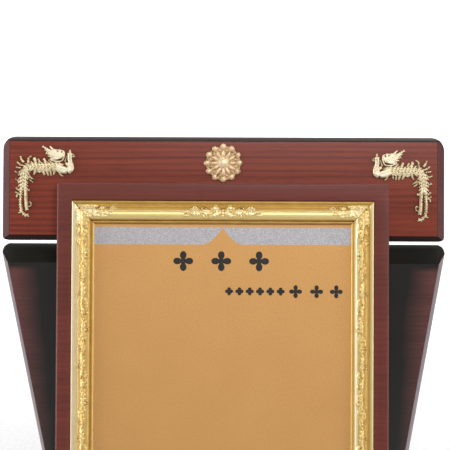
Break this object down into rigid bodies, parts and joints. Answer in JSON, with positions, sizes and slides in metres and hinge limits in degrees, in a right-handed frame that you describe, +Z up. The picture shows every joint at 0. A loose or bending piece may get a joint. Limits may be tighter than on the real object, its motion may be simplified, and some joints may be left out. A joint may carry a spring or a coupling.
{
  "type": "wooden plaque",
  "caption": "Free-standing wooden award plaque: a leaning framed plate on a rosewood board with a wide crossways header, held up by a hinged board leg that folds flat.",
  "frame": {"origin": "on the surface it stands on, under the middle of the standing plaque's width and depth", "axes": "+Z up, +X towards the viewer's right across the plaque, -Y the way the framed front faces"},
  "size_m": [0.333, 0.225, 0.3286],
  "materials": {
    "header_wood": "rosewood veneer under gloss lacquer, fine straight crossways grain",
    "panel_wood": "darker red-brown veneer under satin lacquer",
    "leg_wood": "red-brown veneer, sprayed black over its middle and its top end",
    "gilt": "gold-plated resin moulding with leaf relief, polished high spots over darker recesses",
    "plate_gold": "sand-blasted matte gold with a glittering silver band along the top",
    "plate_print": "black screen-printed ornament",
    "backer_board": "plain grey-brown board",
    "ornament_brass": "pale gold plating over fine relief",
    "hinge_brass": "brushed yellow plating",
    "screw_steel": "yellow passivated steel",
    "pad_felt": "black pressed felt"
  },
  "bodies": {
    "front": {"award_plate": "plate_gold", "emblem": "ornament_brass", "face_panel": "panel_wood", "frame_bottom": "gilt", "frame_left": "gilt", "frame_right": "gilt", "frame_screw_1": "screw_steel", "frame_screw_2": "screw_steel", "frame_screw_3": "screw_steel", "frame_screw_4": "screw_steel", "frame_top": "gilt", "front_pad_left": "pad_felt", "front_pad_right": "pad_felt", "header_board": "header_wood", "header_screw_1": "screw_steel", "header_screw_2": "screw_steel", "header_screw_3": "screw_steel", "header_screw_4": "screw_steel", "hinge_header_screw_1": "screw_steel", "hinge_header_screw_2": "screw_steel", "hinge_header_screw_3": "screw_steel", "hinge_header_screw_4": "screw_steel", "hinge_left_header_leaf": "hinge_brass", "hinge_left_pin": "hinge_brass", "hinge_right_header_leaf": "hinge_brass", "hinge_right_pin": "hinge_brass", "phoenix_left": "ornament_brass", "phoenix_right": "ornament_brass", "plate_backer": "backer_board"},
    "leg": {"hinge_left_leg_leaf": "hinge_brass", "hinge_leg_screw_1": "screw_steel", "hinge_leg_screw_2": "screw_steel", "hinge_leg_screw_3": "screw_steel", "hinge_leg_screw_4": "screw_steel", "hinge_right_leg_leaf": "hinge_brass", "leg_board": "leg_wood", "leg_pad_left": "pad_felt", "leg_pad_right": "pad_felt"}
  },
  "joints": [
    {"name": "leg_fold", "type": "hinge", "parent": "front", "child": "leg", "pos_m": [0, 0.00579, 0.2483], "axis": [1, 0, 0], "range_deg": [-42, 0]}
  ]
}
